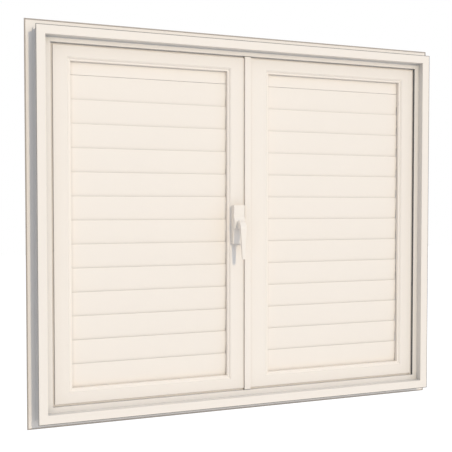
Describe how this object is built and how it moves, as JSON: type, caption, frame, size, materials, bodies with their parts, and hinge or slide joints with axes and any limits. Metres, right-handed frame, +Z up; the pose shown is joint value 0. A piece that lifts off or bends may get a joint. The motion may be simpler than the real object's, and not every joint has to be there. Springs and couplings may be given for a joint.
{
  "type": "louvred shutters",
  "caption": "Pair of hinged louvred shutter leaves with tilting blades, cremone handle and meeting strip, in a stepped frame with a facade flange.",
  "frame": {"origin": "middle of the sill's underside, half way through the frame's depth", "axes": "+X to the right seen from the room, +Y from the room to the outside, +Z up"},
  "size_m": [1.34, 0.1203, 1.184],
  "materials": {
    "cream_coat": "satin powder coat",
    "handle_coat": "satin powder coat",
    "hinge_coat": "satin powder coat",
    "steel": "zinc plated",
    "bare_aluminium": "mill finish",
    "nylon": "moulded matte",
    "gasket": "matte"
  },
  "bodies": {
    "frame": {"frame_head": "cream_coat", "frame_sill": "cream_coat", "jamb_left": "cream_coat", "jamb_right": "cream_coat", "stop_gasket": "gasket", "strike_plates": "steel", "hinge_frame_plates": "hinge_coat"},
    "left_leaf": {"left_hinge_stile": "cream_coat", "left_meeting_stile": "cream_coat", "left_top_rail": "cream_coat", "left_bottom_rail": "cream_coat", "left_beads": "cream_coat", "left_pivot_rails": "nylon", "left_top_infill": "cream_coat", "left_hinge_plates": "hinge_coat", "handle_base": "handle_coat"},
    "right_leaf": {"right_hinge_stile": "cream_coat", "right_meeting_stile": "cream_coat", "right_top_rail": "cream_coat", "right_bottom_rail": "cream_coat", "right_beads": "cream_coat", "right_pivot_rails": "nylon", "right_top_infill": "cream_coat", "right_hinge_plates": "hinge_coat", "astragal": "cream_coat", "astragal_caps": "nylon"},
    "lever": {"lever": "handle_coat", "spindle": "steel"},
    "rod_top": {"rod_top": "steel"},
    "flush_bolt_top": {"flush_bolt_top": "steel"},
    "rod_bottom": {"rod_bottom": "steel"},
    "flush_bolt_bottom": {"flush_bolt_bottom": "steel"},
    "left_blade_01": {"left_blade_01": "cream_coat"},
    "left_blade_02": {"left_blade_02": "cream_coat"},
    "left_blade_03": {"left_blade_03": "cream_coat"},
    "left_blade_04": {"left_blade_04": "cream_coat"},
    "left_blade_05": {"left_blade_05": "cream_coat"},
    "left_blade_06": {"left_blade_06": "cream_coat"},
    "left_blade_07": {"left_blade_07": "cream_coat"},
    "left_blade_08": {"left_blade_08": "cream_coat"},
    "left_blade_09": {"left_blade_09": "cream_coat"},
    "left_blade_10": {"left_blade_10": "cream_coat"},
    "left_blade_11": {"left_blade_11": "cream_coat"},
    "left_blade_12": {"left_blade_12": "cream_coat"},
    "left_blade_13": {"left_blade_13": "cream_coat"},
    "left_link_bar": {"left_link_bar": "bare_aluminium"},
    "right_blade_01": {"right_blade_01": "cream_coat"},
    "right_blade_02": {"right_blade_02": "cream_coat"},
    "right_blade_03": {"right_blade_03": "cream_coat"},
    "right_blade_04": {"right_blade_04": "cream_coat"},
    "right_blade_05": {"right_blade_05": "cream_coat"},
    "right_blade_06": {"right_blade_06": "cream_coat"},
    "right_blade_07": {"right_blade_07": "cream_coat"},
    "right_blade_08": {"right_blade_08": "cream_coat"},
    "right_blade_09": {"right_blade_09": "cream_coat"},
    "right_blade_10": {"right_blade_10": "cream_coat"},
    "right_blade_11": {"right_blade_11": "cream_coat"},
    "right_blade_12": {"right_blade_12": "cream_coat"},
    "right_blade_13": {"right_blade_13": "cream_coat"},
    "right_link_bar": {"right_link_bar": "bare_aluminium"}
  },
  "joints": [
    {"name": "left_leaf_swing", "type": "hinge", "parent": "frame", "child": "left_leaf", "pos_m": [-0.6135, 0.043, 0.562], "axis": [0, 0, 1], "range_deg": [0, 175]},
    {"name": "right_leaf_swing", "type": "hinge", "parent": "frame", "child": "right_leaf", "pos_m": [0.6135, 0.043, 0.562], "axis": [0, 0, -1], "range_deg": [0, 175]},
    {"name": "lever_turn", "type": "hinge", "parent": "left_leaf", "child": "lever", "pos_m": [-0.0404, -0.0365, 0.562], "axis": [0, 1, 0], "range_deg": [0, 90]},
    {"name": "rod_top_slide", "type": "slide", "parent": "left_leaf", "child": "rod_top", "axis": [0, 0, 1], "range_m": [0, 0.0144]},
    {"name": "flush_bolt_top_slide", "type": "slide", "parent": "right_leaf", "child": "flush_bolt_top", "axis": [0, 0, 1], "range_m": [0, 0.015]},
    {"name": "rod_bottom_slide", "type": "slide", "parent": "left_leaf", "child": "rod_bottom", "axis": [0, 0, -1], "range_m": [0, 0.0144]},
    {"name": "flush_bolt_bottom_slide", "type": "slide", "parent": "right_leaf", "child": "flush_bolt_bottom", "axis": [0, 0, -1], "range_m": [0, 0.015]},
    {"name": "left_blade_01_tilt", "type": "hinge", "parent": "left_leaf", "child": "left_blade_01", "pos_m": [-0.306, 0.017, 0.11881], "axis": [1, 0, 0], "range_deg": [0, 85]},
    {"name": "left_blade_02_tilt", "type": "hinge", "parent": "left_leaf", "child": "left_blade_02", "pos_m": [-0.306, 0.017, 0.18888], "axis": [1, 0, 0], "range_deg": [0, 85]},
    {"name": "left_blade_03_tilt", "type": "hinge", "parent": "left_leaf", "child": "left_blade_03", "pos_m": [-0.306, 0.017, 0.25896], "axis": [1, 0, 0], "range_deg": [0, 85]},
    {"name": "left_blade_04_tilt", "type": "hinge", "parent": "left_leaf", "child": "left_blade_04", "pos_m": [-0.306, 0.017, 0.32904], "axis": [1, 0, 0], "range_deg": [0, 85]},
    {"name": "left_blade_05_tilt", "type": "hinge", "parent": "left_leaf", "child": "left_blade_05", "pos_m": [-0.306, 0.017, 0.39911], "axis": [1, 0, 0], "range_deg": [0, 85]},
    {"name": "left_blade_06_tilt", "type": "hinge", "parent": "left_leaf", "child": "left_blade_06", "pos_m": [-0.306, 0.017, 0.46919], "axis": [1, 0, 0], "range_deg": [0, 85]},
    {"name": "left_blade_07_tilt", "type": "hinge", "parent": "left_leaf", "child": "left_blade_07", "pos_m": [-0.306, 0.017, 0.53927], "axis": [1, 0, 0], "range_deg": [0, 85]},
    {"name": "left_blade_08_tilt", "type": "hinge", "parent": "left_leaf", "child": "left_blade_08", "pos_m": [-0.306, 0.017, 0.60935], "axis": [1, 0, 0], "range_deg": [0, 85]},
    {"name": "left_blade_09_tilt", "type": "hinge", "parent": "left_leaf", "child": "left_blade_09", "pos_m": [-0.306, 0.017, 0.67942], "axis": [1, 0, 0], "range_deg": [0, 85]},
    {"name": "left_blade_10_tilt", "type": "hinge", "parent": "left_leaf", "child": "left_blade_10", "pos_m": [-0.306, 0.017, 0.7495], "axis": [1, 0, 0], "range_deg": [0, 85]},
    {"name": "left_blade_11_tilt", "type": "hinge", "parent": "left_leaf", "child": "left_blade_11", "pos_m": [-0.306, 0.017, 0.81958], "axis": [1, 0, 0], "range_deg": [0, 85]},
    {"name": "left_blade_12_tilt", "type": "hinge", "parent": "left_leaf", "child": "left_blade_12", "pos_m": [-0.306, 0.017, 0.88965], "axis": [1, 0, 0], "range_deg": [0, 85]},
    {"name": "left_blade_13_tilt", "type": "hinge", "parent": "left_leaf", "child": "left_blade_13", "pos_m": [-0.306, 0.017, 0.95973], "axis": [1, 0, 0], "range_deg": [0, 85]},
    {"name": "left_link_bar_turn", "type": "hinge", "parent": "left_blade_01", "child": "left_link_bar", "pos_m": [-0.548, 0.02363, 0.11273], "axis": [1, 0, 0], "range_deg": [-85, 0]},
    {"name": "right_blade_01_tilt", "type": "hinge", "parent": "right_leaf", "child": "right_blade_01", "pos_m": [0.306, 0.017, 0.11881], "axis": [1, 0, 0], "range_deg": [0, 85]},
    {"name": "right_blade_02_tilt", "type": "hinge", "parent": "right_leaf", "child": "right_blade_02", "pos_m": [0.306, 0.017, 0.18888], "axis": [1, 0, 0], "range_deg": [0, 85]},
    {"name": "right_blade_03_tilt", "type": "hinge", "parent": "right_leaf", "child": "right_blade_03", "pos_m": [0.306, 0.017, 0.25896], "axis": [1, 0, 0], "range_deg": [0, 85]},
    {"name": "right_blade_04_tilt", "type": "hinge", "parent": "right_leaf", "child": "right_blade_04", "pos_m": [0.306, 0.017, 0.32904], "axis": [1, 0, 0], "range_deg": [0, 85]},
    {"name": "right_blade_05_tilt", "type": "hinge", "parent": "right_leaf", "child": "right_blade_05", "pos_m": [0.306, 0.017, 0.39911], "axis": [1, 0, 0], "range_deg": [0, 85]},
    {"name": "right_blade_06_tilt", "type": "hinge", "parent": "right_leaf", "child": "right_blade_06", "pos_m": [0.306, 0.017, 0.46919], "axis": [1, 0, 0], "range_deg": [0, 85]},
    {"name": "right_blade_07_tilt", "type": "hinge", "parent": "right_leaf", "child": "right_blade_07", "pos_m": [0.306, 0.017, 0.53927], "axis": [1, 0, 0], "range_deg": [0, 85]},
    {"name": "right_blade_08_tilt", "type": "hinge", "parent": "right_leaf", "child": "right_blade_08", "pos_m": [0.306, 0.017, 0.60935], "axis": [1, 0, 0], "range_deg": [0, 85]},
    {"name": "right_blade_09_tilt", "type": "hinge", "parent": "right_leaf", "child": "right_blade_09", "pos_m": [0.306, 0.017, 0.67942], "axis": [1, 0, 0], "range_deg": [0, 85]},
    {"name": "right_blade_10_tilt", "type": "hinge", "parent": "right_leaf", "child": "right_blade_10", "pos_m": [0.306, 0.017, 0.7495], "axis": [1, 0, 0], "range_deg": [0, 85]},
    {"name": "right_blade_11_tilt", "type": "hinge", "parent": "right_leaf", "child": "right_blade_11", "pos_m": [0.306, 0.017, 0.81958], "axis": [1, 0, 0], "range_deg": [0, 85]},
    {"name": "right_blade_12_tilt", "type": "hinge", "parent": "right_leaf", "child": "right_blade_12", "pos_m": [0.306, 0.017, 0.88965], "axis": [1, 0, 0], "range_deg": [0, 85]},
    {"name": "right_blade_13_tilt", "type": "hinge", "parent": "right_leaf", "child": "right_blade_13", "pos_m": [0.306, 0.017, 0.95973], "axis": [1, 0, 0], "range_deg": [0, 85]},
    {"name": "right_link_bar_turn", "type": "hinge", "parent": "right_blade_01", "child": "right_link_bar", "pos_m": [0.548, 0.02363, 0.11273], "axis": [1, 0, 0], "range_deg": [-85, 0]}
  ],
  "couplings": [
    {"joint": "rod_top_slide", "follows": "lever_turn", "m_per_rad": 0.009},
    {"joint": "rod_bottom_slide", "follows": "lever_turn", "m_per_rad": 0.009},
    {"joint": "left_blade_02_tilt", "follows": "left_blade_01_tilt", "ratio": 1},
    {"joint": "left_blade_03_tilt", "follows": "left_blade_01_tilt", "ratio": 1},
    {"joint": "left_blade_04_tilt", "follows": "left_blade_01_tilt", "ratio": 1},
    {"joint": "left_blade_05_tilt", "follows": "left_blade_01_tilt", "ratio": 1},
    {"joint": "left_blade_06_tilt", "follows": "left_blade_01_tilt", "ratio": 1},
    {"joint": "left_blade_07_tilt", "follows": "left_blade_01_tilt", "ratio": 1},
    {"joint": "left_blade_08_tilt", "follows": "left_blade_01_tilt", "ratio": 1},
    {"joint": "left_blade_09_tilt", "follows": "left_blade_01_tilt", "ratio": 1},
    {"joint": "left_blade_10_tilt", "follows": "left_blade_01_tilt", "ratio": 1},
    {"joint": "left_blade_11_tilt", "follows": "left_blade_01_tilt", "ratio": 1},
    {"joint": "left_blade_12_tilt", "follows": "left_blade_01_tilt", "ratio": 1},
    {"joint": "left_blade_13_tilt", "follows": "left_blade_01_tilt", "ratio": 1},
    {"joint": "left_link_bar_turn", "follows": "left_blade_01_tilt", "ratio": -1},
    {"joint": "right_blade_02_tilt", "follows": "right_blade_01_tilt", "ratio": 1},
    {"joint": "right_blade_03_tilt", "follows": "right_blade_01_tilt", "ratio": 1},
    {"joint": "right_blade_04_tilt", "follows": "right_blade_01_tilt", "ratio": 1},
    {"joint": "right_blade_05_tilt", "follows": "right_blade_01_tilt", "ratio": 1},
    {"joint": "right_blade_06_tilt", "follows": "right_blade_01_tilt", "ratio": 1},
    {"joint": "right_blade_07_tilt", "follows": "right_blade_01_tilt", "ratio": 1},
    {"joint": "right_blade_08_tilt", "follows": "right_blade_01_tilt", "ratio": 1},
    {"joint": "right_blade_09_tilt", "follows": "right_blade_01_tilt", "ratio": 1},
    {"joint": "right_blade_10_tilt", "follows": "right_blade_01_tilt", "ratio": 1},
    {"joint": "right_blade_11_tilt", "follows": "right_blade_01_tilt", "ratio": 1},
    {"joint": "right_blade_12_tilt", "follows": "right_blade_01_tilt", "ratio": 1},
    {"joint": "right_blade_13_tilt", "follows": "right_blade_01_tilt", "ratio": 1},
    {"joint": "right_link_bar_turn", "follows": "right_blade_01_tilt", "ratio": -1}
  ]
}
